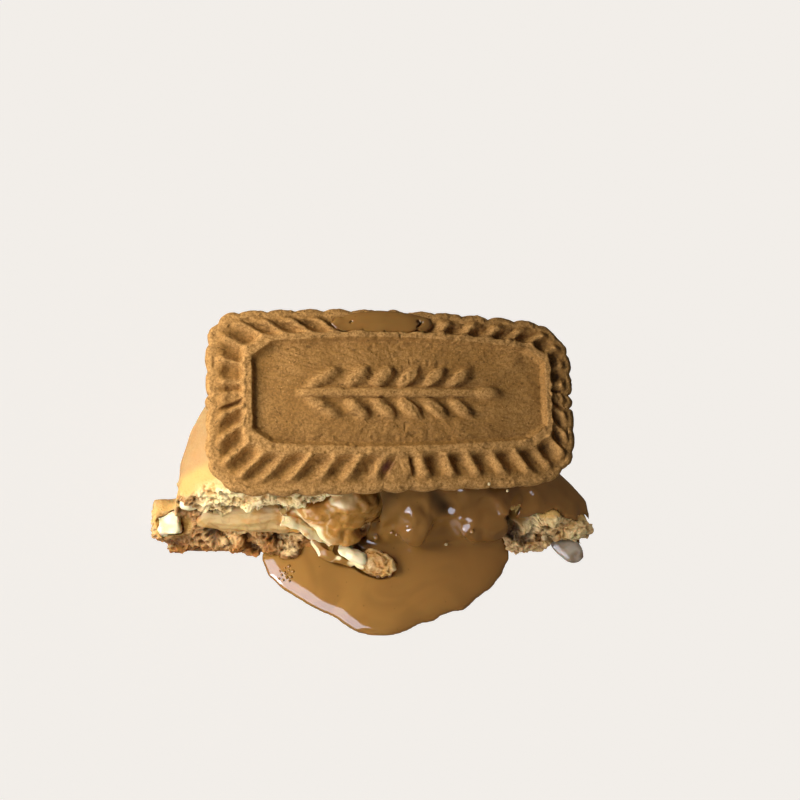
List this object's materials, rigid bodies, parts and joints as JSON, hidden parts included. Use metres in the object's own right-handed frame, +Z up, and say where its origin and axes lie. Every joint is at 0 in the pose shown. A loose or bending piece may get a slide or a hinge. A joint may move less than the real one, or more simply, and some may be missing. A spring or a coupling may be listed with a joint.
{
  "type": "stuffed cookie",
  "caption": "Torn half of a thick cookie with a caramel filling, melted spread running out into a puddle, and a scalloped rectangular biscuit resting on top.",
  "frame": {"origin": "on the cookie's flat underside, near the middle of the whole, on the surface it rests on", "axes": "+X to the right along the torn side, +Y away from the torn side, +Z up"},
  "size_m": [0.0821, 0.0614, 0.0334],
  "materials": {
    "cookie_crumb": "matt golden crumb, browned at the foot",
    "caramel_filling": "soft satin caramel",
    "melted_spread": "wet gloss",
    "glaze": "wet translucent gloss",
    "white_cream": "satin",
    "white_chocolate": "satin",
    "baked_biscuit": "matt fine grain"
  },
  "bodies": {
    "root": {"cookie": "cookie_crumb", "fallen_cookie_piece": "cookie_crumb", "filling": "caramel_filling", "melted_spread": "melted_spread", "spread_smear": "melted_spread", "glaze_drip": "glaze", "cream_ribbon": "white_cream", "white_chocolate_chunk": "white_chocolate", "white_chocolate_bit": "white_chocolate", "fallen_white_chocolate": "white_chocolate", "biscuit": "baked_biscuit"}
  },
  "joints": []
}
